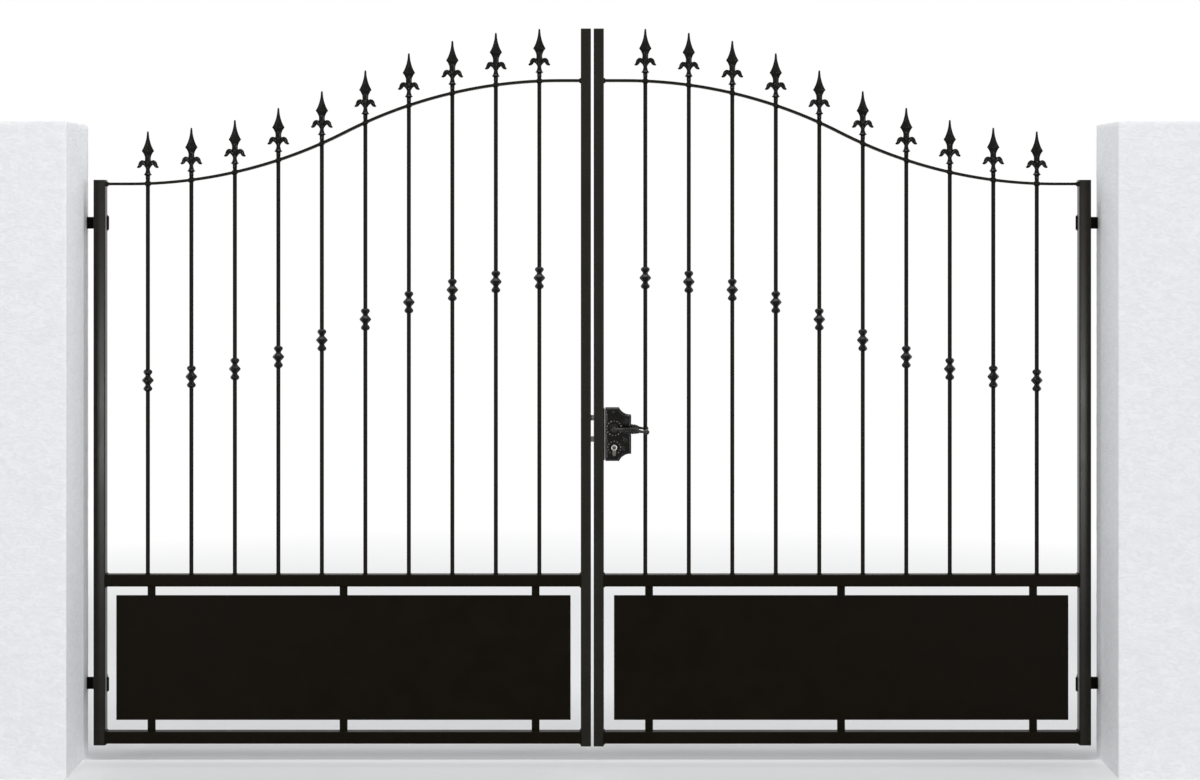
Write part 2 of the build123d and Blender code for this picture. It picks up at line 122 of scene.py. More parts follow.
# Collars, as height over their middle and radius at a corner
collar_drop = 581
collar_bore = 6.1
collar_profile = (
    (-32.8, 7.2), (-32, 8.3), (-30.6, 10.4), (-28.8, 12.3), (-26.9, 13.4), (-25, 13.7),
    (-23, 13.4), (-21, 12.4), (-19, 10.8), (-17, 9.2), (-15.2, 8), (-13.8, 7.6),
    (-12.4, 7.9), (-10.4, 9.2), (-6.9, 12.8), (-3, 16.4), (-1.4, 17.4), (0, 17.8),
)
collar_corner = radians(4)
collar_support = radians(8)

# Spearheads, as height over the arched rail's middle line and radius of the stem
stem_sides = 20
stem_profile = (
    (11.2, 6.1), (12, 6.5), (20, 6.6), (22, 6.7), (23.4, 7.3), (24.4, 9.2), (25.1, 10.9),
    (25.9, 11.8), (27.1, 11.8), (28.2, 10.6), (30.2, 8.8), (33, 7.5), (37, 6.4), (42, 5.7),
    (46.5, 5.6), (52, 6.6), (57, 7.8), (62, 8.8), (66, 9.3), (70.5, 9.1),
)

# Blade, as height, half width, half depth and fullness of its flanks
blade_sections = (
    (67.5, 8.5, 7.2, 1.7), (71, 8.8, 7.5, 1.6), (75, 8.7, 7.2, 1.45), (80, 9.2, 7.2, 1.3),
    (85, 11.2, 8.4, 1.2), (89, 13.1, 9.6, 1.12), (92.5, 15.4, 10.9, 1.08),
    (95, 17.7, 11.9, 1.06), (96, 18.3, 12.1, 1.05), (97, 18.1, 12, 1.05),
    (99.2, 16.9, 11.3, 1.05), (103, 14.7, 9.9, 1.06), (109, 11.8, 8.1, 1.08),
    (115, 9.5, 6.6, 1.1), (121, 7.6, 5.4, 1.12), (127.5, 5.9, 4.3, 1.15), (134, 4.5, 3.5, 1.2),
    (141, 3.6, 3, 1.3), (149, 3, 2.6, 1.5), (152.6, 2.5, 2.2, 1.8), (154.1, 1.6, 1.5, 2),
    (154.45, 0.5, 0.5, 2),
)
flank_steps = 4
rib_half_width = 4.6
rib_share = 0.45
rib_height = 0.55
rib_steps = 8

# Leaves, as distance out from the bar, height, half thickness and half depth
leaf_path = (
    (3.4, 43, 2.2, 3.8), (5, 49.5, 3.5, 4.9), (8, 56, 5.3, 5.6), (12.4, 60.9, 6.8, 6),
    (16, 62.4, 7.1, 6.1), (19.2, 61, 6.9, 6.1), (21.3, 57.8, 6.5, 6), (23, 54.2, 5.9, 5.6),
    (25.1, 51.2, 5, 5), (27.6, 49.5, 4, 4.2), (29.9, 48.7, 3, 3.1), (31.6, 48.4, 1.6, 1.7),
    (32.3, 48.3, 0.5, 0.5),
)
leaf_sides = 20
leaf_fullness = 1.9
leaf_groove = 0.34
leaf_groove_share = 0.42
leaf_boss = (17.2, 63.4, 3.3, 6.3)
leaf_boss_lean = pi / 2.4
leaf_boss_steps = 5

# Straps of the kick panel
strap_low, strap_high = node_box("left_panel_straps")
strap_half_width = 11.5
strap_places = (
    strap_low[0] + strap_half_width,
    node_middle("left_panel_straps")[0],
    strap_high[0] - strap_half_width,
)
panel_weld_heights = (128, 300, 462)
panel_weld_length = 16

# Hinges
eyes_low, eyes_high = node_box("left_hinge_eyes")
eye_half_height = 17.5
hinge_heights = (eyes_high[2] - eye_half_height, eyes_low[2] + eye_half_height)
fork_left = node_box("left_hinge_forks")[0][0]
fork_plate_width = 29
fork_half_height = 24

# Weld beads, as half width and height, those on a face ground almost flat
rail_bead = (3.4, 3.2)
rail_face_bead = (2.6, 0.35)
arch_bead = (4.4, 3.2)
bar_foot_bead = (2.1, 2.3)
bar_crossing_bead = (2.5, 2.4)
strap_bead = (2.2, 2.2)
fork_bead = (3, 3)
case_bead = (2.6, 2.6)
case_face_bead = (1.6, 0.35)
bead_sides = 10
bead_step = 1.4
bead_ring_steps = 22
foot_ring_radius = bar_radius + 0.5
crossing_ring_radius = bar_radius + 0.4

# How far a bead stops short of an edge
rail_bead_stop = 2.5
rail_face_bead_stop = 2
case_bead_stop = 1.5
strap_bead_stop = 0.5

# Ripple and drift of a bead's size, each as share and pace, and the share at its ends
bead_ripple, ripple_pace = 0.11, 2.1
bead_drift, drift_pace = 0.16, 0.35
bead_end_share = 0.45

# Bolts, and the slots that they pass through
bolt_low, bolt_high = node_box("latch_bolt")
bolt_clearance = 0.5
slot_places = [node_middle(name)[2] for name in ("latch_bolt", "deadbolt")]
slot_depth = bolt_high[1] - bolt_low[1] + 2 * bolt_clearance
slot_height = bolt_high[2] - bolt_low[2] + 2 * bolt_clearance
slot_corner = 1.2
slot_reach = 10
slot_overrun = 4

# Lock case, plates and cylinder
case_low, case_high = node_box("lock_case")
plate_low, plate_high = node_box("front_lock_plate")
plate_face = plate_low[1]
notch_width = 35.5
notch_height = 21
notch_sag = 6.5
notch_steps = 12
notch_width_growth = 0.6
notch_height_growth = 0.4
lever_x, _, lever_height = node_middle("spindle")
cylinder_low, cylinder_high = node_box("lock_cylinder")
cylinder_radius = 8.5
cylinder_height = cylinder_high[2] - cylinder_radius
cylinder_tail_half_width = 8
cylinder_sides = 32
cylinder_edge = ((8.3, 0), (8.15, 0.4), (7.6, 0.7), (6.9, 0.7), (6.4, 0.4), (6.2, 0))

# Rings of studs, as height of their middle, radius, count, and a stud's radius and height
stud_rings = (
    (lever_height, 21.2, 15, 2.5, 2.1),
    (lever_height, 11.4, 14, 1.1, 0.9),
    (cylinder_height, 18.6, 13, 2.4, 2),
)
boss_sides = 12
boss_steps = 3
boss_lean = pi / 7

# Border of the plate
border_inset = 4.2
border_half_width = 1.1
border_height = 0.45
border_step = 2.5
border_sides = 6

# Scrolls, as distance in from the plate's outer edge, height over its foot, radius, first
# angle in degrees, turns and hand
scrolls = (
    (16.3, 119.5, 7, 200, 1.35, 1),
    (16.3, 63, 7, 110, 1.35, 1),
    (22.3, 38.5, 6.4, -40, 1.3, -1),
)
scroll_steps = 26
scroll_sides = 8
scroll_half_width = 1.7
scroll_narrowing = 0.7
scroll_height = 1.1
scroll_eye_radius = 1.1
scroll_eye_boss = (2.1, 1.7)
scroll_tightening = 1.15

# Leaves of a scroll, as share of the way to its eye and length
scroll_leaves = ((0.04, 5.4), (0.17, 4.8), (0.3, 4.2), (0.43, 3.6))
scroll_leaf_lean = 0.5
scroll_leaf_steps = 5
scroll_leaf_half_width = 2.1
scroll_leaf_height = 1.3
scroll_leaf_root = 0.16
scroll_leaf_tip = 0.96

# Screws, as distance from the plate's inner edge and height over its foot
screw_places = ((23.5, 143.5), (41, 8.2))
screw_radius = 3.9
screw_sides = 24
screw_head = ((1, -0.1), (1, 0.35), (0.9, 0.75), (0.72, 1.05), (0.52, 1.2))
socket_share = 0.42
socket_floor = 0.2

# Lever's hub, as distance in front of the plate and radius
hub_sides = 36
hub_profile = (
    (-3.6, 7.9), (-0.2, 7.9), (0.4, 9.6), (1.4, 10), (2.6, 9.7), (3.6, 8.6), (5, 8), (27, 7.8),
    (31, 8.4), (32.4, 8.8), (35, 8.9), (41, 8.9), (43.6, 8.4), (45.4, 6.6), (45.9, 4), (46, 1.2),
)

# Lever's arm, as distance along it, radius, and how far it is twisted into strands
lever_standoff = 38
grip_y = plate_face - lever_standoff
arm_sides = 48
arm_step = 1.1
arm_profile = (
    (-3, 4.6, 0), (6, 5, 0), (16, 4.7, 0), (20.5, 4.8, 0), (22.5, 6, 0), (24, 6.3, 0.5),
    (26, 6.5, 1), (34, 7.6, 1), (47, 8.15, 1), (60, 7.6, 1), (68, 6.5, 1), (70, 6.3, 0.5),
    (71.5, 6, 0), (73, 4.9, 0), (76, 4.5, 0), (81, 4.1, 0), (85.5, 3.7, 0), (87.4, 4.1, 0),
    (88.6, 5.4, 0), (91, 7.1, 0), (94, 7.8, 0), (96.5, 7.7, 0), (99, 6.7, 0), (101, 5.1, 0),
    (102.4, 3, 0), (103, 1.2, 0),
)
strand_count = 4
strand_pitch = 31
strand_offset = 0.58
strand_radius = 0.42
strand_valley = 0.02
grip_deepening = 1.22

# Fall of the arm, each as height, and where it starts and ends along the arm
arm_falls = ((4, 8, 47), (3.6, 60, 94))

# Pillars
pillar_low, pillar_high = node_box("left_pillar")
pillar_half = (pillar_high[0] - pillar_low[0]) / 2
pillar_height = pillar_high[2]
pillar_arris = 3
pillar_top_radius = 0.4
pillar_cell = 12
pillar_cells_across = 24
top_insets = range(14, 146, 12)

# Hollows of the render, and the wear near two or more of its edges
render_hollow = 0.8
render_foot_hollow = 0.2
trowel_waves = ((46, 0.5), (17, 0.35))
edge_band = 5
edge_wear = ((9, 0.05, 1.1), (27, 0, 0.5))


class Shape:
    """Points in millimetres, and the faces between them."""

    def __init__(self):
        self.points = []
        self.faces = []

    def skin(self, rings, looped=False):
        """Adds a skin over rings of equally many points, closed at both ends or looped."""
        count = len(rings[0])
        first = len(self.points)
        for ring in rings:
            self.points.extend(tuple(point) for point in ring)
        for number in range(len(rings) if looped else len(rings) - 1):
            here = first + number * count
            there = first + (number + 1) % len(rings) * count
            for index in range(count):
                beside = (index + 1) % count
                self.faces.append((here + index, here + beside, there + beside, there + index))
        if not looped:
            last = len(self.points) - count
            self.faces.append(tuple(reversed(range(first, first + count))))
            self.faces.append(tuple(range(last, last + count)))

    def mirrored(self, axis, middle):
        """The same shape beyond a plane that is square to an axis."""
        other = Shape()
        for point in self.points:
            there = list(point)
            there[axis] = 2 * middle - there[axis]
            other.points.append(there)
        other.faces = [face[::-1] for face in self.faces]
        return other


class Graph:
    """A material or world under construction."""

    def __init__(self, owner):
        owner.use_nodes = True
        self.tree = owner.node_tree
        self.tree.nodes.clear()

    def feed(self, socket, value):
        """Links a socket to another node's output, or sets its value."""
        if isinstance(value, bpy.types.NodeSocket):
            self.tree.links.new(value, socket)
        else:
            socket.default_value = value

    def node(self, kind, **inputs):
        made = self.tree.nodes.new(kind)
        for name, value in inputs.items():
            self.feed(made.inputs[name.replace("_", " ")], value)
        return made

    def noise(self, coordinates, size, detail=2.0, distortion=0.0):
        """Noise with features about as wide as size, in metres."""
        made = self.node(
            "ShaderNodeTexNoise", Vector=coordinates, Scale=1 / size, Detail=detail,
            Distortion=distortion,
        )
        return made.outputs["Fac"]

    def ranged(self, value, start, end, low, high):
        """A value that goes from low to high while another goes from start to end."""
        made = self.node(
            "ShaderNodeMapRange", Value=value, From_Min=start, From_Max=end, To_Min=low,
            To_Max=high,
        )
        return made.outputs["Result"]

    def mixed(self, factor, first, second):
        """A colour between two."""
        made = self.tree.nodes.new("ShaderNodeMix")
        made.data_type = "RGBA"
        self.feed(made.inputs[0], factor)
        self.feed(made.inputs[6], first)
        self.feed(made.inputs[7], second)
        return made.outputs[2]

    def math(self, operation, first, second):
        made = self.tree.nodes.new("ShaderNodeMath")
        made.operation = operation
        self.feed(made.inputs[0], first)
        self.feed(made.inputs[1], second)
        return made.outputs[0]

    def blended(self, factor, first, second):
        """A shader between two."""
        made = self.node("ShaderNodeMixShader", Fac=factor)
        self.feed(made.inputs[1], first.outputs[0])
        self.feed(made.inputs[2], second.outputs[0])
        return made.outputs[0]

    def seen(self):
        """1 for what the camera, a gloss or a glass sees, and 0 for light on its way."""
        path = self.node("ShaderNodeLightPath").outputs
        looks = self.math("MAXIMUM", path["Is Camera Ray"], path["Is Glossy Ray"])
        return self.math("MAXIMUM", looks, path["Is Transmission Ray"])

    def surface(self, shade, gloss, specular, relief, height, metallic=0.0):
        """The material's output: a surface with its shade, roughness and fine relief."""
        bump = self.node("ShaderNodeBump", Strength=0.8, Distance=relief, Height=height)
        shader = self.node(
            "ShaderNodeBsdfPrincipled", Base_Color=shade, Roughness=gloss, Metallic=metallic,
            Specular_IOR_Level=specular, Normal=bump.outputs["Normal"],
        )
        self.node("ShaderNodeOutputMaterial", Surface=shader.outputs["BSDF"])


def painted(
    name, light, dark, rough, specular, grain, relief, patch=0.09, metallic=0.0, stretch=None,
):
    """A coated or bare metal, or plastic, with its patches, grain and fine relief."""
    material = bpy.data.materials.new(name)
    graph = Graph(material)
    place = graph.node("ShaderNodeTexCoord").outputs["Object"]
    if stretch:
        place = graph.node("ShaderNodeMapping", Vector=place, Scale=stretch).outputs["Vector"]
    patches = graph.noise(place, patch, 5.0, 0.4)
    fine = graph.noise(place, grain, 3.0)
    specks = graph.ranged(graph.noise(place, grain * 3.1, 1.0), 0.62, 0.72, 0, 1)
    shade = graph.mixed(graph.ranged(patches, 0.35, 0.68, 0, 1), (*dark, 1), (*light, 1))
    dusty = tuple(min(1, value * 1.5 + 0.003) for value in light)
    shade = graph.mixed(graph.math("MULTIPLY", specks, 0.25), shade, (*dusty, 1))
    gloss = graph.math(
        "ADD",
        graph.ranged(patches, 0.3, 0.7, rough[0], rough[1]),
        graph.ranged(fine, 0.3, 0.7, -0.04, 0.04),
    )
    coarse = graph.noise(place, grain * 6, 2.0)
    height = graph.math("ADD", fine, graph.math("MULTIPLY", coarse, 1.6))
    graph.surface(shade, gloss, specular, relief, height, metallic)
    return material


def rendered(name, light, dark):
    """Masonry render, trowelled by hand: mottled, with low ridges and a sandy grain whose pits
    carry painted shade.
    """
    material = bpy.data.materials.new(name)
    graph = Graph(material)
    place = graph.node("ShaderNodeTexCoord").outputs["Object"]
    drawn = graph.node("ShaderNodeMapping", Vector=place, Scale=(1, 1, 2.1)).outputs["Vector"]
    clouds = graph.noise(place, 0.11, 6.0, 0.6)
    strokes = graph.noise(drawn, 0.034, 4.0, 1.5)
    sand = graph.noise(place, 0.0028, 3.0)
    shade = graph.mixed(graph.ranged(strokes, 0.34, 0.68, 0, 1), (*dark, 1), (*light, 1))
    stain = tuple(value * 0.955 for value in dark)
    shade = graph.mixed(graph.ranged(clouds, 0.55, 0.8, 0, 0.5), shade, (*stain, 1))
    # Darker where the sand noise is low, in the pits of the grain: painted shade
    pit_painted_shade = tuple(value * 0.82 for value in dark)
    shade = graph.mixed(graph.ranged(sand, 0.24, 0.36, 0.55, 0), shade, (*pit_painted_shade, 1))
    height = graph.math("ADD", strokes, graph.math("MULTIPLY", sand, 0.42))
    gloss = graph.ranged(strokes, 0.3, 0.7, 0.86, 0.97)
    graph.surface(shade, gloss, specular=0.2, relief=0.0017, height=height)
    return material


# Each with its light tone, dark tone and range of roughness first
materials = {
    # The same black paint in three tones: lighter on the stiles, less so on the bars and arched
    # rail, darkest elsewhere. The tones are painted sheen and shade; the differences in gloss are
    # real.
    "black_paint": painted(
        "satin_black_paint", (0.006, 0.0044, 0.002), (0.0044, 0.0032, 0.0014),
        (0.36, 0.46), specular=0.035, grain=0.0013, relief=0.000012,
    ),
    "bar_paint_painted_lighter": painted(
        "satin_bar_paint", (0.0078, 0.0064, 0.0042), (0.0058, 0.0046, 0.003),
        (0.38, 0.48), specular=0.08, grain=0.0013, relief=0.000008,
    ),
    "stile_paint_painted_lighter": painted(
        "glossier_black_paint", (0.0105, 0.0094, 0.0064), (0.0078, 0.0069, 0.0046),
        (0.235, 0.275), specular=0.15, grain=0.0013, relief=0.000012,
    ),
    "cast_black": painted(
        "painted_casting", (0.0032, 0.0026, 0.0014), (0.0012, 0.001, 0.0005),
        (0.13, 0.21), specular=0.135, grain=0.0011, relief=0.0001, patch=0.02,
    ),
    # Bright metal on every stud: a painted glint
    "stud_painted_glint": painted(
        "studs_painted_bright_as_glints", (0.22, 0.21, 0.195), (0.09, 0.086, 0.08),
        (0.16, 0.26), specular=0.5, grain=0.0009, relief=0.00002, patch=0.009,
        metallic=0.8,
    ),
    "handled_casting": painted(
        "casting_polished_by_hands", (0.0042, 0.0034, 0.0018), (0.0018, 0.0014, 0.0007),
        (0.14, 0.22), specular=0.4, grain=0.0009, relief=0.00005, patch=0.015,
    ),
    "black_plastic": painted(
        "moulded_cap", (0.012, 0.012, 0.012), (0.008, 0.008, 0.008),
        (0.5, 0.6), specular=0.25, grain=0.0007, relief=0.00004, patch=0.03,
    ),
    "zinc_plate": painted(
        "zinc_plated_steel", (0.25, 0.25, 0.24), (0.16, 0.16, 0.155),
        (0.32, 0.5), specular=0.5, grain=0.002, relief=0.00003, patch=0.012,
        metallic=0.85,
    ),
    "nickel": painted(
        "plated_cylinder", (0.68, 0.66, 0.62), (0.55, 0.53, 0.49),
        (0.24, 0.34), specular=0.5, grain=0.0006, relief=0.00001, patch=0.01,
        metallic=1.0, stretch=(1, 0.2, 1),
    ),
    # A darker copy of the nickel for the cylinder's body: painted shade
    "nickel_in_painted_shade": painted(
        "cylinder_body_in_painted_shade", (0.15, 0.142, 0.13), (0.075, 0.071, 0.065),
        (0.26, 0.38), specular=0.5, grain=0.0006, relief=0.00001, patch=0.006,
        metallic=1.0, stretch=(1, 0.2, 1),
    ),
    "bolt_steel": painted(
        "bolt_steel_ground", (0.19, 0.18, 0.165), (0.11, 0.105, 0.095),
        (0.28, 0.42), specular=0.5, grain=0.0008, relief=0.00002, patch=0.012,
        metallic=1.0, stretch=(0.08, 1, 1),
    ),
    "render": rendered(
        "trowelled_render", (0.815, 0.815, 0.825), (0.745, 0.748, 0.765),
    ),
}


def to_object(name, shape, look, sharp):
    """A mesh object of a shape, smooth between its sharp edges."""
    mesh = bpy.data.meshes.new(name)
    mesh.from_pydata([[value * MM for value in point] for point in shape.points], [], shape.faces)
    work = bmesh.new()
    work.from_mesh(mesh)
    bmesh.ops.recalc_face_normals(work, faces=work.faces)
    work.to_mesh(mesh)
    work.free()
    mesh.polygons.foreach_set("use_smooth", [True] * len(mesh.polygons))
    mesh.set_sharp_from_angle(angle=radians(sharp))
    mesh.materials.append(materials[look])
    made = bpy.data.objects.new(name, mesh)
    scene.collection.objects.link(made)
    return made


def make(name, shape, body, slot, replaced=(), sharp=40, cutter=None, look=None):
    """A finished piece that rides on its body, in place of the nodes it replaces."""
    piece = to_object(name, shape, look or slot, sharp)
    if cutter:
        tool = to_object(name + "_cutter", cutter, slot, sharp)
        cut = piece.modifiers.new("cut", "BOOLEAN")
        cut.object = tool
        cut.solver = "EXACT"
        bpy.context.view_layer.update()
        carved = bpy.data.meshes.new_from_object(
            piece.evaluated_get(bpy.context.evaluated_depsgraph_get())
        )
        piece.modifiers.clear()
        piece.data = carved
        bpy.data.objects.remove(tool)
        carved.set_sharp_from_angle(angle=radians(sharp))
    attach(piece, body)
    if replaced:
        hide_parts(*replaced)
    return piece


def rounded(width, height, radius, steps=4, support=0.35):
    """Outline of a rectangle with round corners, with a point beside each end of an arc."""
    outline = []
    for turn, (across, up) in enumerate(((1, 1), (-1, 1), (-1, -1), (1, -1))):
        middle = (across * (width / 2 - radius), up * (height / 2 - radius))
        for step in range(-1, steps + 2):
            angle = (turn + min(max(step, 0), steps) / steps) * pi / 2
            beside = support * ((step > steps) - (step < 0))
            outline.append((
                middle[0] + radius * cos(angle) - beside * sin(angle),
                middle[1] + radius * sin(angle) + beside * cos(angle),
            ))
    return outline


def circle(x, y, radius, z, sides):
    """A ring of points round an upright axis."""
    return [
        (x + radius * cos(tau * side / sides), y + radius * sin(tau * side / sides), z)
        for side in range(sides)
    ]


def disc(x, z, radius, y, sides):
    """A ring of points round an axis square to the gate."""
    return [(across, y, up) for across, up, _ in circle(x, z, radius, 0, sides)]


def oval(middle, across, half_width, height, sides):
    """A ring round a raised band on the lock plate, half sunk into its face."""
    return [
        (
            middle[0] + across[0] * half_width * u,
            plate_face - height * v,
            middle[1] + across[1] * half_width * u,
        )
        for u, v, _ in circle(0, 0, 1, 0, sides)
    ]


def hexagon(angle):
    """Distance from the middle of a hexagon to its side, as a share of that to a corner."""
    return cos(pi / 6) / cos(angle % (pi / 3) - pi / 6)


def tube(node, axis):
    """A square tube with round corners and a real wall, in the box of its node."""
    low, high = node_box(node)
    flat = [side for side in range(3) if side != axis]
    width, depth = [high[side] - low[side] for side in flat]
    outer = rounded(width, depth, tube_corner)
    inner = rounded(width - 2 * tube_wall, depth - 2 * tube_wall, tube_corner - tube_wall)
    rings = []
    for outline, end in ((outer, low), (outer, high), (inner, high), (inner, low)):
        ring = []
        for first, second in outline:
            point = node_middle(node)
            point[axis] = end[axis]
            point[flat[0]] += first
            point[flat[1]] += second
            ring.append(point)
        rings.append(ring)
    shape = Shape()
    shape.skin(rings, looped=True)
    return shape


def slots(left, right):
    """Cutter for the openings that the bolts pass through."""
    outline = rounded(slot_depth, slot_height, slot_corner, steps=3, support=0.1)
    shape = Shape()
    for height in slot_places:
        shape.skin([
            [(x, gate_middle + y, height + z) for y, z in outline] for x in (left, right)
        ])
    return shape


def stile_cap(shape, node, top):
    """A moulded cap over one end of a stile, with an eased lid and a plug inside the tube."""
    low, high = node_box(node)
    middle = node_middle(node)
    width, depth = high[0] - low[0], high[1] - low[1]
    seat, facing = (high[2], 1) if top else (low[2], -1)
    rings = []
    for height, inset in cap_levels:
        radius = max(tube_corner - inset, cap_corner)
        outline = rounded(width - 2 * inset, depth - 2 * inset, radius)
        rings.append([
            (middle[0] + x, middle[1] + y, seat + facing * height) for x, y in outline
        ])
    shape.skin(rings)


def arch_height(x):
    """Height of the arched rail's middle line."""
    along = min(max(x - arch_start, 0), arch_run)
    if along <= arch_run / 2:
        return arch_low + arch_radius - sqrt(arch_radius ** 2 - along ** 2)
    return arch_high - arch_radius + sqrt(arch_radius ** 2 - (arch_run - along) ** 2)


def arch_slope(x):
    """Rise of the arched rail for each millimetre along."""
    along = min(max(x - arch_start, 0), arch_run)
    sine = min(along, arch_run - along) / arch_radius
    return sine / sqrt(1 - sine ** 2)


def arched_rail():
    """The flat bar bent to two equal arcs, its long edges eased."""
    outline = rounded(arch_depth, arch_thickness, arch_edge, steps=3, support=0.3)
    turn = 2 * atan2(arch_rise, arch_run)
    first_arc = []
    for step in range(arch_steps + 1):
        angle = turn * step / arch_steps
        first_arc.append((
            arch_start + arch_radius * sin(angle),
            arch_low + arch_radius * (1 - cos(angle)),
            angle,
        ))
    second_arc = [
        (2 * arch_start + arch_run - x, arch_low + arch_high - z, angle)
        for x, z, angle in reversed(first_arc[:-1])
    ]
    ends = ((infill_left, arch_low, 0), (infill_right, arch_high, 0))
    shape = Shape()
    shape.skin([
        [(x - up * sin(angle), gate_middle + across, z + up * cos(angle)) for across, up in outline]
        for x, z, angle in (ends[0], *first_arc, *second_arc, ends[1])
    ])
    return shape


def round_bars():
    """The bars, from the middle rail to just over the arched rail."""
    shape = Shape()
    for x in bar_places:
        ends = (middle_rail[1], arch_height(x) + bar_overrun)
        shape.skin([circle(x, gate_middle, bar_radius, z, bar_sides) for z in ends])
    return shape


def collars():
    """Six-sided cast collars, their corners worn round, bored for the bars."""
    corners = []
    for corner in range(6):
        for lean in (-collar_support, -collar_corner, collar_corner, collar_support):
            corners.append(corner * pi / 3 + lean)
    profile = list(collar_profile) + [(-z, radius) for z, radius in reversed(collar_profile[:-1])]
    shape = Shape()
    for x in bar_places:
        middle = arch_height(x) - collar_drop
        rings = []
        for z, radius in profile:
            ring = []
            for angle in corners:
                reach = radius * hexagon(angle)
                ring.append((x + reach * cos(angle), gate_middle + reach * sin(angle), middle + z))
            rings.append(ring)
        for z in (profile[-1][0], profile[0][0]):
            rings.append([
                (x + collar_bore * cos(angle), gate_middle + collar_bore * sin(angle), middle + z)
                for angle in corners
            ])
        shape.skin(rings, looped=True)
    return shape


def power(value, exponent):
    """A power that keeps the sign of its base."""
    return (abs(value) ** exponent) * (1 if value >= 0 else -1)


def bladed(half_width, half_depth, fullness):
    """Outline of a blade: two flanks, and a rounded rib along the middle of each face."""
    rib = min(rib_half_width, half_width * rib_share)

    def flank(u):
        """Half depth at a distance from the middle: a rhombus at fullness 1, an oval at 2."""
        return half_depth * (1 - (u / half_width) ** fullness) ** (1 / fullness)

    side = []
    for step in range(flank_steps):
        u = half_width + (rib - half_width) * step / flank_steps
        side.append((u, flank(u)))
    edge = flank(rib)
    crown = []
    for step in range(rib_steps + 1):
        angle = pi * step / rib_steps
        rise = (half_depth - edge) * rib_height * sin(angle)
        crown.append((rib * cos(angle), edge + rise))
    half = side + crown + [(-u, v) for u, v in side[:0:-1]]
    return half + [(-u, -v) for u, v in half]


def curved(a, b, c, d, t):
    """A value at a share of the way from b to c, on a smooth curve past all four."""
    return b + 0.5 * t * (c - a + t * (2 * a - 5 * b + 4 * c - d + t * (3 * b - a - 3 * c + d)))


def between(points, parts=3):
    """The same path with more points, on a smooth curve through the given ones."""
    finer = []
    for number in range(len(points) - 1):
        four = [points[min(max(number + step, 0), len(points) - 1)] for step in (-1, 0, 1, 2)]
        for part in range(parts):
            finer.append([curved(*values, part / parts) for values in zip(*four)])
    return finer + [points[-1]]


def grooved(thick, deep):
    """Section of a leaf: nearly an oval, with a groove along the middle of each face."""
    outline = []
    for side in range(leaf_sides):
        angle = tau * side / leaf_sides
        u = thick * power(cos(angle), 2 / leaf_fullness)
        v = deep * power(sin(angle), 2 / leaf_fullness)
        groove = leaf_groove * max(0, 1 - (u / (leaf_groove_share * thick)) ** 2)
        outline.append((u, v * (1 - groove)))
    return outline


def leaf(shape, x, foot, side, path):
    """One curled leaf of a spearhead, with a boss at the top of its curl."""
    rings = []
    for number, (out, up, thick, deep) in enumerate(path):
        before = path[max(number - 1, 0)]
        after = path[min(number + 1, len(path) - 1)]
        run = (after[0] - before[0], after[1] - before[1])
        length = hypot(*run)
        normal = (-run[1] / length, run[0] / length)
        rings.append([
            (x + side * (out + normal[0] * u), gate_middle + v, foot + up + normal[1] * u)
            for u, v in grooved(thick, deep)
        ])
    shape.skin(rings)
    out, up, radius, deep = leaf_boss
    rings = []
    for step in range(-leaf_boss_steps, leaf_boss_steps + 1):
        lean = leaf_boss_lean * step / leaf_boss_steps
        y = gate_middle + deep * sin(lean) / sin(leaf_boss_lean)
        rings.append(disc(x + side * out, foot + up, radius * cos(lean), y, boss_sides))
    shape.skin(rings)


def spearheads():
    """Cast spearheads: a skirted stem, a four-sided blade and two curled leaves."""
    fine_path = between(leaf_path)
    shape = Shape()
    for x in bar_places:
        foot = arch_height(x)
        shape.skin([
            circle(x, gate_middle, radius, foot + z, stem_sides) for z, radius in stem_profile
        ])
        shape.skin([
            [(x + u, gate_middle + v, foot + z) for u, v in bladed(width, depth, fullness)]
            for z, width, depth, fullness in blade_sections
        ])
        for side in (1, -1):
            leaf(shape, x, foot, side, fine_path)
    return shape


def bead(shape, path, up, size, closed=False):
    """A rippled weld bead along a path. Its size is its half width and its height."""
    wide, high = size
    up = Vector(up)
    path = [Vector(point) for point in path]
    phase = random.uniform(0, 10)
    rings = []
    for number, point in enumerate(path):
        if closed:
            before, after = path[number - 1], path[(number + 1) % len(path)]
        else:
            before, after = path[max(number - 1, 0)], path[min(number + 1, len(path) - 1)]
        along = (after - before).normalized()
        side = along.cross(up).normalized()
        lift = side.cross(along)
        drift = noise.noise(Vector((number * drift_pace, phase, 0)))
        swell = 1 + bead_ripple * sin(number * ripple_pace) + bead_drift * drift
        if not closed and number in (0, len(path) - 1):
            swell *= bead_end_share
        ring = []
        for turn in range(bead_sides):
            angle = turn * tau / bead_sides
            ring.append(point + side * wide * swell * cos(angle) + lift * high * swell * sin(angle))
        rings.append(ring)
    shape.skin(rings, looped=closed)


def straight(start, end):
    """Points along a straight line."""
    start, end = Vector(start), Vector(end)
    count = max(int((end - start).length / bead_step), 3)
    return [start.lerp(end, number / count) for number in range(count + 1)]


def ring_path(x, z, radius, slope=0.0):
    """A closed path round a bar, on a face that rises by slope."""
    return [
        (x + across, gate_middle + deep, z + across * slope)
        for across, deep, _ in circle(0, 0, radius, 0, bead_ring_steps)
    ]


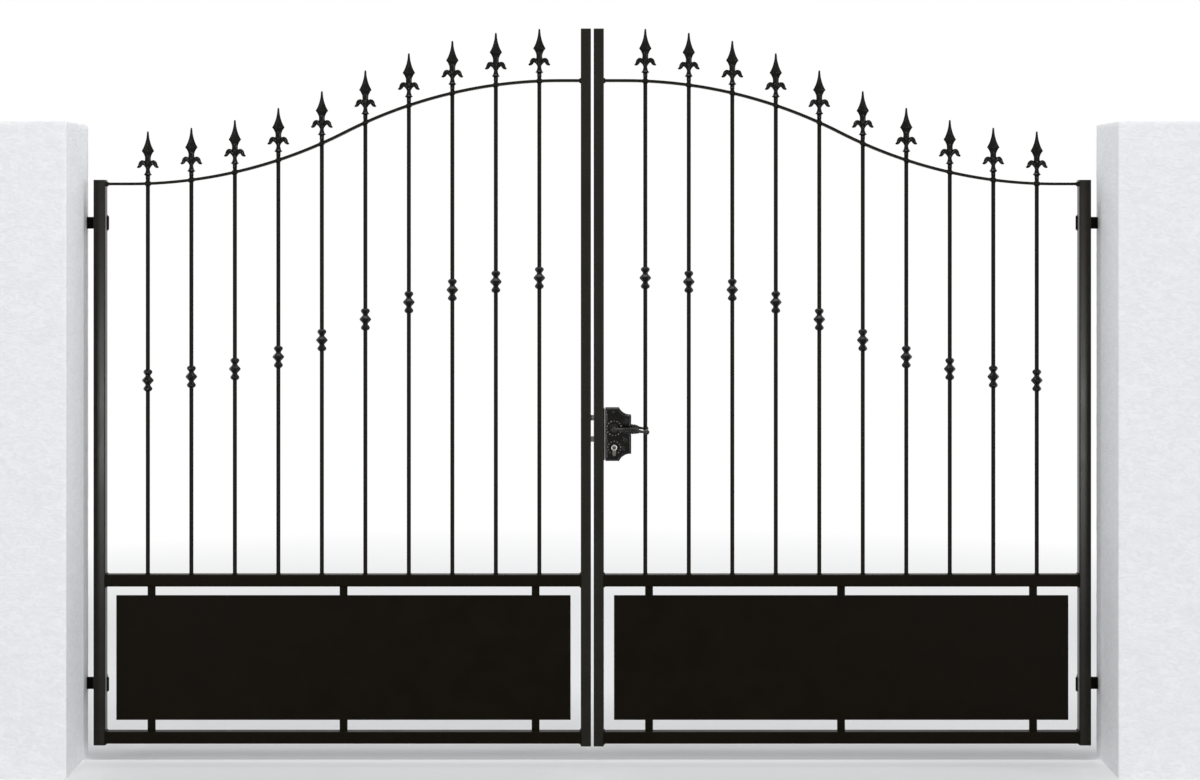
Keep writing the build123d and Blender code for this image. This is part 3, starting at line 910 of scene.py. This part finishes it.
def leaf_welds():
    """The weld beads of one leaf."""
    shape = Shape()
    near, far = gate_front + rail_bead_stop, gate_back - rail_bead_stop
    for x in (infill_left, infill_right):
        for low, high in (bottom_rail, middle_rail):
            for z in (high, low):
                bead(shape, straight((x, near, z), (x, far, z)), upward, rail_bead)
            for y in (gate_front, gate_back):
                ends = [(x, y, z) for z in (low + rail_face_bead_stop, high - rail_face_bead_stop)]
                bead(shape, straight(*ends), inward, rail_face_bead)
        for edge in (-arch_thickness / 2, arch_thickness / 2):
            z = arch_height(x) + edge
            ends = [(x, gate_middle + side * arch_depth / 2, z) for side in (-1, 1)]
            bead(shape, straight(*ends), upward, arch_bead)
    for x in bar_places:
        path = ring_path(x, middle_rail[1], foot_ring_radius)
        bead(shape, path, upward, bar_foot_bead, closed=True)
        slope = arch_slope(x)
        offset = arch_thickness / 2 * sqrt(1 + slope ** 2)
        for side in (-1, 1):
            path = ring_path(x, arch_height(x) + side * offset, crossing_ring_radius, slope)
            bead(shape, path, upward, bar_crossing_bead, closed=True)
    reach = strap_half_width - strap_bead_stop
    for x in strap_places:
        for z in (bottom_rail[1], middle_rail[0]):
            for y in (strap_low[1], strap_high[1]):
                bead(shape, straight((x - reach, y, z), (x + reach, y, z)), upward, strap_bead)
        for z in panel_weld_heights:
            for side in (-1, 1):
                foot = Vector((x + side * strap_half_width, strap_low[1], z))
                head = foot + Vector((0, 0, panel_weld_length))
                bead(shape, straight(foot, head), inward, strap_bead)
    for height in hinge_heights:
        low, high = height - fork_half_height, height + fork_half_height
        ends = [(fork_left, gate_back, z) for z in (low, high)]
        bead(shape, straight(*ends), inward, fork_bead)
        for z in (low, high):
            ends = [(x, gate_back, z) for x in (fork_left, fork_left + fork_plate_width)]
            bead(shape, straight(*ends), upward, fork_bead)
    return shape


def lock_welds():
    """The beads between the lock case and its stile."""
    shape = Shape()
    left, bottom, top = case_low[0], case_low[2], case_high[2]
    near, far = gate_front + case_bead_stop, gate_back - case_bead_stop
    for z in (bottom, top):
        bead(shape, straight((left, near, z), (left, far, z)), upward, case_bead)
    for y in (gate_front, gate_back):
        bead(shape, straight((left, y, bottom), (left, y, top)), inward, case_face_bead)
    return shape


def boss(shape, x, z, radius, height):
    """A low round stud on the front lock plate."""
    rings = []
    for step in range(boss_steps + 1):
        angle = step * boss_lean
        rings.append(disc(x, z, radius * cos(angle), plate_face - height * sin(angle), boss_sides))
    shape.skin(rings)


def plate_studs():
    """Rings of studs round the lever and the cylinder, with room for the cylinder's tail."""
    shape = Shape()
    for middle, radius, count, size, height in stud_rings:
        for stud in range(count):
            angle = pi / 2 + tau * stud / count
            across, up = radius * cos(angle), radius * sin(angle)
            below = middle == cylinder_height and up < 0
            if not (below and abs(across) < cylinder_tail_half_width):
                boss(shape, lever_x + across, middle + up, size, height)
    return shape


def plate_line(inset):
    """A closed line inside the lock plate's edge, following its two hollow corners."""
    left, right = plate_low[0] + inset, plate_high[0] - inset
    bottom, top = plate_low[2] + inset, plate_high[2] - inset
    inner = plate_high[0] - notch_width - inset * notch_width_growth
    fall = notch_height - inset * notch_height_growth
    corners = []
    for start, end in (
        ((inner, top), (right, top - fall)),
        ((right, bottom + fall), (inner, bottom)),
    ):
        run = Vector(end) - Vector(start)
        hollow_side = Vector((run.y, -run.x)).normalized()
        for step in range(notch_steps + 1):
            share = step / notch_steps
            hollow = notch_sag * 4 * share * (1 - share)
            corners.append(Vector(start) + run * share + hollow_side * hollow)
    outline = [Vector((left, bottom)), Vector((left, top)), *corners]
    path = []
    for number, point in enumerate(outline):
        following = outline[(number + 1) % len(outline)]
        count = max(int((following - point).length / border_step), 1)
        path += [point.lerp(following, step / count) for step in range(count)]
    return path


def scroll(shape, x, z, size, start, turns, hand):
    """A raised scroll that narrows to its eye, with leaves on its outer side."""

    def spiral(share):
        """The middle of the band at a share of its way to the eye, and its angle there."""
        radius = size * (1 - share) ** scroll_tightening + scroll_eye_radius * share
        angle = start + hand * tau * turns * share
        return Vector((x + radius * cos(angle), z + radius * sin(angle))), angle

    steps = int(scroll_steps * turns)
    path = [spiral(step / steps)[0] for step in range(steps + 1)]
    rings = []
    for number, point in enumerate(path):
        run = (path[min(number + 1, steps)] - path[max(number - 1, 0)]).normalized()
        half_width = scroll_half_width - scroll_narrowing * number / steps
        rings.append(oval(point, (run.y, -run.x), half_width, scroll_height, scroll_sides))
    shape.skin(rings)
    boss(shape, x, z, *scroll_eye_boss)
    for share, length in scroll_leaves:
        root, angle = spiral(share)
        lean = angle + scroll_leaf_lean * hand
        out = Vector((cos(lean), sin(lean)))
        rings = []
        for step in range(scroll_leaf_steps + 1):
            reach = step / scroll_leaf_steps
            swell = sin(pi * (scroll_leaf_root + (scroll_leaf_tip - scroll_leaf_root) * reach))
            rings.append(oval(
                root + out * length * reach, (-out.y, out.x),
                scroll_leaf_half_width * swell, scroll_leaf_height * swell, scroll_sides,
            ))
        shape.skin(rings)


def plate_relief():
    """Raised border and scrolls of the front lock plate."""
    shape = Shape()
    path = plate_line(border_inset)
    rings = []
    for number, point in enumerate(path):
        run = (path[(number + 1) % len(path)] - path[number - 1]).normalized()
        band = (border_half_width, border_height, border_sides)
        rings.append(oval(point, (run.y, -run.x), *band))
    shape.skin(rings, looped=True)
    for back, up, size, start, turns, hand in scrolls:
        x, z = plate_high[0] - back, plate_low[2] + up
        scroll(shape, x, z, size, radians(start), turns, hand)
    return shape


def plate_screws():
    """Raised countersunk screws with a six-sided socket."""
    head_height = screw_head[-1][1]
    shape = Shape()
    for across, up in screw_places:
        x, z = plate_low[0] + across, plate_low[2] + up
        rings = [
            disc(x, z, screw_radius * share, plate_face - height, screw_sides)
            for share, height in screw_head
        ]
        for height in (head_height, socket_floor):
            ring = []
            for side in range(screw_sides):
                angle = tau * side / screw_sides
                reach = screw_radius * socket_share * hexagon(angle)
                ring.append((x + reach * cos(angle), plate_face - height, z + reach * sin(angle)))
            rings.append(ring)
        shape.skin(rings)
    return shape


def cylinder_rings():
    """The turned edge of the plug, on the cylinder's front face."""
    shape = Shape()
    rings = [
        disc(lever_x, cylinder_height, radius, cylinder_low[1] - height, cylinder_sides)
        for radius, height in cylinder_edge
    ]
    shape.skin(rings, looped=True)
    return shape


def smooth(value, start, end):
    """Eases from 0 at start to 1 at end."""
    share = min(max((value - start) / (end - start), 0), 1)
    return share * share * (3 - 2 * share)


def twisted(angle, along):
    """Radius of a bundle of twisted strands, as a share of its outer radius."""
    turn = tau / strand_count
    lean = (angle - tau * along / strand_pitch + turn / 2) % turn - turn / 2
    depth = strand_radius ** 2 - (strand_offset * sin(lean)) ** 2
    return strand_offset * cos(lean) + sqrt(max(depth, strand_valley ** 2))


def lever():
    """The front lever: a turned hub, and an arm with a twisted grip and a ball end."""
    shape = Shape()
    shape.skin([
        disc(lever_x, lever_height, radius, plate_face - before, hub_sides)
        for before, radius in hub_profile
    ])
    stations = []
    for here, there in zip(arm_profile, arm_profile[1:]):
        count = max(int((there[0] - here[0]) / arm_step), 1)
        for step in range(count):
            share = step / count
            stations.append([a + (b - a) * share for a, b in zip(here, there)])
    stations.append(arm_profile[-1])
    rings = []
    for along, radius, twist in stations:
        drop = sum(fall * smooth(along, start, end) for fall, start, end in arm_falls)
        tall = 1 + (grip_deepening - 1) * twist
        ring = []
        for side in range(arm_sides):
            angle = tau * side / arm_sides
            reach = radius * (1 + twist * (twisted(angle, along) - 1))
            ring.append((
                lever_x + along,
                grip_y + reach * cos(angle),
                lever_height - drop + reach * sin(angle) * tall,
            ))
        rings.append(ring)
    shape.skin(rings)
    return shape


def pillar_outline(inset, radius):
    """Points round a pillar, evenly spaced along each side."""
    half = pillar_half - inset

    def corner(start, angle):
        """A point on the round corner that starts at an angle."""
        diagonal = Vector((cos(start + pi / 4), sin(start + pi / 4)))
        return diagonal * (half - radius) * sqrt(2) + Vector((cos(angle), sin(angle))) * radius

    points = []
    for turn in range(4):
        start, end = turn * pi / 2, (turn + 1) * pi / 2
        points += [corner(start, start + step / 3 * pi / 2) for step in range(4)]
        first, last = points[-1], corner(end, end)
        points += [
            first.lerp(last, step / pillar_cells_across) for step in range(1, pillar_cells_across)
        ]
    return points


def trowelled(place, across, inset):
    """A point of the render, sunk a little by the trowel, or by wear at an arris."""
    wave = sum(share * noise.noise(place / width) for width, share in trowel_waves)
    hollow = render_hollow * min(max(0.5 + wave, 0), 1)
    edges = [abs(across.x) > pillar_half - edge_band, abs(across.y) > pillar_half - edge_band]
    edges.append(place.z > pillar_height - edge_band)
    worn = sum(edges) > 1
    if worn:
        hollow += sum(
            depth * max(noise.noise(place / width) - threshold, 0)
            for width, threshold, depth in edge_wear
        )
    if place.z == 0:
        hollow = render_foot_hollow
    sunk = Vector((0, 0, 0))
    if inset < top_insets[0]:
        if worn:
            sunk = Vector((-across.x, -across.y, 0)).normalized() * hollow
        elif abs(across.x) >= abs(across.y):
            sunk.x = -hollow if across.x > 0 else hollow
        else:
            sunk.y = -hollow if across.y > 0 else hollow
    if place.z > pillar_height - pillar_arris:
        sunk.z = -hollow
    return place + sunk


def pillar(node):
    """A rendered pillar, hollowed a little by the trowel, its arrises worn."""
    middle = node_middle(node)[0]
    shaft = pillar_height - pillar_arris
    rows = int(shaft / pillar_cell)
    levels = [(shaft * row / rows, 0, pillar_arris) for row in range(rows + 1)]
    for step in (1, 2, 3):
        angle = step * pi / 6
        levels.append((
            pillar_height - pillar_arris * (1 - sin(angle)),
            pillar_arris * (1 - cos(angle)),
            pillar_arris * cos(angle) + pillar_top_radius,
        ))
    levels += [(pillar_height, inset, pillar_top_radius) for inset in top_insets]
    shape = Shape()
    shape.skin([
        [
            trowelled(Vector((middle + across.x, across.y, z)), across, inset)
            for across in pillar_outline(inset, radius)
        ]
        for z, inset, radius in levels
    ])
    return shape


# Pieces of the two leaves, and the pillars
for side in ("left", "right"):
    body = side + "_leaf"
    if side == "left":
        openings = slots(centre_x - slot_reach, centre_x)
    else:
        openings = slots(centre_x, case_low[0] + slot_overrun)
    # The stiles take the copy of the black paint that is painted lighter
    for part, axis, look, cutter in (
        ("hinge_stile", 2, "stile_paint_painted_lighter", None),
        ("bottom_rail", 0, "black_paint", None),
        ("middle_rail", 0, "black_paint", None),
        ("meeting_stile", 2, "stile_paint_painted_lighter", openings),
    ):
        node = f"{side}_{part}"
        shape = tube(node, axis)
        make(node + "_tube", shape, body, "black_paint", [node], cutter=cutter, look=look)

    caps = Shape()
    for part in ("hinge_stile", "meeting_stile"):
        for top in (True, False):
            stile_cap(caps, f"{side}_{part}", top)
    make(side + "_moulded_caps", caps, body, "black_plastic", [side + "_stile_caps"])

    # The arched rail and the bars take the copy of the black paint that is painted lighter
    for name, drawn, slot, node, look, sharp in (
        ("arch", arched_rail, "black_paint", "arched_rail", "bar_paint_painted_lighter", 40),
        ("round_bars", round_bars, "black_paint", "bars", "bar_paint_painted_lighter", 40),
        ("cast_collars", collars, "cast_black", "bar_collars", None, 38),
        ("cast_spearheads", spearheads, "cast_black", "spear_finials", None, 52),
        ("welds", leaf_welds, "black_paint", None, None, 60),
    ):
        shape = drawn()
        if side == "right":
            shape = shape.mirrored(0, centre_x)
        replaced = [f"{side}_{node}"] if node else ()
        make(f"{side}_{name}", shape, body, slot, replaced, sharp, look=look)

    node = side + "_pillar"
    make(node + "_render", pillar(node), "posts", "render", [node], sharp=70)

# Lock furniture, alike on both faces of the gate
make("lock_case_welds", lock_welds(), "right_leaf", "black_paint", sharp=60)
for face in ("front", "rear"):
    for name, drawn, body, slot, look in (
        ("plate_relief", plate_relief, "right_leaf", "cast_black", "handled_casting"),
        # The studs take the bright metal that stands for glints
        ("plate_studs", plate_studs, "right_leaf", "cast_black", "stud_painted_glint"),
        ("plate_screws", plate_screws, "right_leaf", "cast_black", "handled_casting"),
        ("cylinder_edge", cylinder_rings, "right_leaf", "nickel", "nickel"),
        ("lever_cast", lever, "handle", "cast_black", "handled_casting"),
    ):
        shape = drawn()
        if face == "rear":
            shape = shape.mirrored(1, gate_middle)
        replaced = [face + "_lever"] if drawn is lever else ()
        make(f"{face}_{name}", shape, body, slot, replaced, sharp=50, look=look)

# Materials of the nodes that stay
slot_of = {part["node"]: part["material_slot"] for part in frame["record"]["subparts"]}
for name, node in nodes.items():
    # The lock cylinder's body takes the darker copy of its nickel, which is painted shade
    material = materials["nickel_in_painted_shade" if name == "lock_cylinder" else slot_of[name]]
    if not node.material_slots:
        node.data.materials.append(material)
    for place in node.material_slots:
        place.material = material

# World: white to the eye, and a soft sky for the light
world = bpy.data.worlds.new("studio")
scene.world = world
graph = Graph(world)
soft = graph.node("ShaderNodeBackground", Color=(0.95, 0.97, 1, 1), Strength=0.47)
white = graph.node("ShaderNodeBackground", Color=(1, 1, 1, 1), Strength=1.0)
graph.node("ShaderNodeOutputWorld", Surface=graph.blended(graph.seen(), soft, white))

# Pale floor that fades into the white round the gate, in metres
floor_reach = 60
floor_sides = 64
fade_start = 3.0
fade_end = 5.2
floor_mesh = bpy.data.meshes.new("floor")
floor_mesh.from_pydata(
    circle(centre_x * MM, 0, floor_reach, 0, floor_sides), [], [tuple(range(floor_sides))],
)
floor = bpy.data.objects.new("floor", floor_mesh)
scene.collection.objects.link(floor)
floor_material = bpy.data.materials.new("pale_floor")
graph = Graph(floor_material)
place = graph.node("ShaderNodeTexCoord").outputs["Object"]
centred = graph.node("ShaderNodeVectorMath")
centred.operation = "DISTANCE"
graph.feed(centred.inputs[0], place)
graph.feed(centred.inputs[1], (centre_x * MM, 0, 0))
away = graph.ranged(centred.outputs["Value"], fade_start, fade_end, 0, 1)
ground = graph.node("ShaderNodeBsdfDiffuse", Color=(0.82, 0.82, 0.82, 1))
glow = graph.node("ShaderNodeEmission", Color=(1, 1, 1, 1), Strength=1.0)
faded = graph.math("MULTIPLY", graph.seen(), away)
graph.node("ShaderNodeOutputMaterial", Surface=graph.blended(faded, ground, glow))
floor_mesh.materials.append(floor_material)


def softbox(name, place, aim, size, energy, colour=(1, 1, 1)):
    """A rectangular lamp turned towards a point, in metres and watts."""
    lamp = bpy.data.lights.new(name, "AREA")
    lamp.shape = "RECTANGLE"
    lamp.size, lamp.size_y = size
    lamp.energy = energy
    lamp.color = colour
    holder = bpy.data.objects.new(name, lamp)
    holder.location = place
    holder.rotation_euler = (Vector(aim) - Vector(place)).to_track_quat("-Z", "Y").to_euler()
    holder.visible_camera = False
    scene.collection.objects.link(holder)


# Lamps, as place, aim, size, watts and colour
softbox("key", (-1.0, -6.0, 4.6), (1.65, 0, 0.9), (1.4, 1.4), 40, (1, 0.985, 0.96))
softbox("fill", (4.4, -6.4, 3.8), (1.65, 0, 1.0), (3.0, 3.0), 30, (0.97, 0.985, 1))
softbox("top", (1.65, -0.7, 5.4), (1.65, 0, 1.0), (3.2, 1.6), 110)
softbox("left_strip", (-2.6, -3.2, 1.4), (1.2, 0, 1.1), (0.14, 2.6), 12)
softbox("right", (12.0, -3.0, 2.5), (0.2, 0, 1.0), (3.0, 3.0), 190)
softbox("low_left", (-1.12, -6.2, 0.45), (0.2, 0, 0.95), (0.3, 0.75), 58)
softbox("low_right", (4.42, -6.2, 0.45), (3.1, 0, 0.95), (0.3, 0.75), 58)
softbox("back", (1.65, 6.0, 4.4), (1.65, 0, 1.0), (4.0, 2.6), 120)

# Camera, level, so that the uprights stay parallel
camera = bpy.data.cameras.new("camera")
camera.lens = 71.285
camera.sensor_width = 36
camera.shift_x = 0.0064
camera.shift_y = -0.15
camera.clip_end = 200
viewer = bpy.data.objects.new("camera", camera)
viewer.location = (1.65, -6.925, 1.621)
viewer.rotation_euler = (pi / 2, 0, 0)
scene.collection.objects.link(viewer)
scene.camera = viewer
scene.view_settings.view_transform = "Standard"
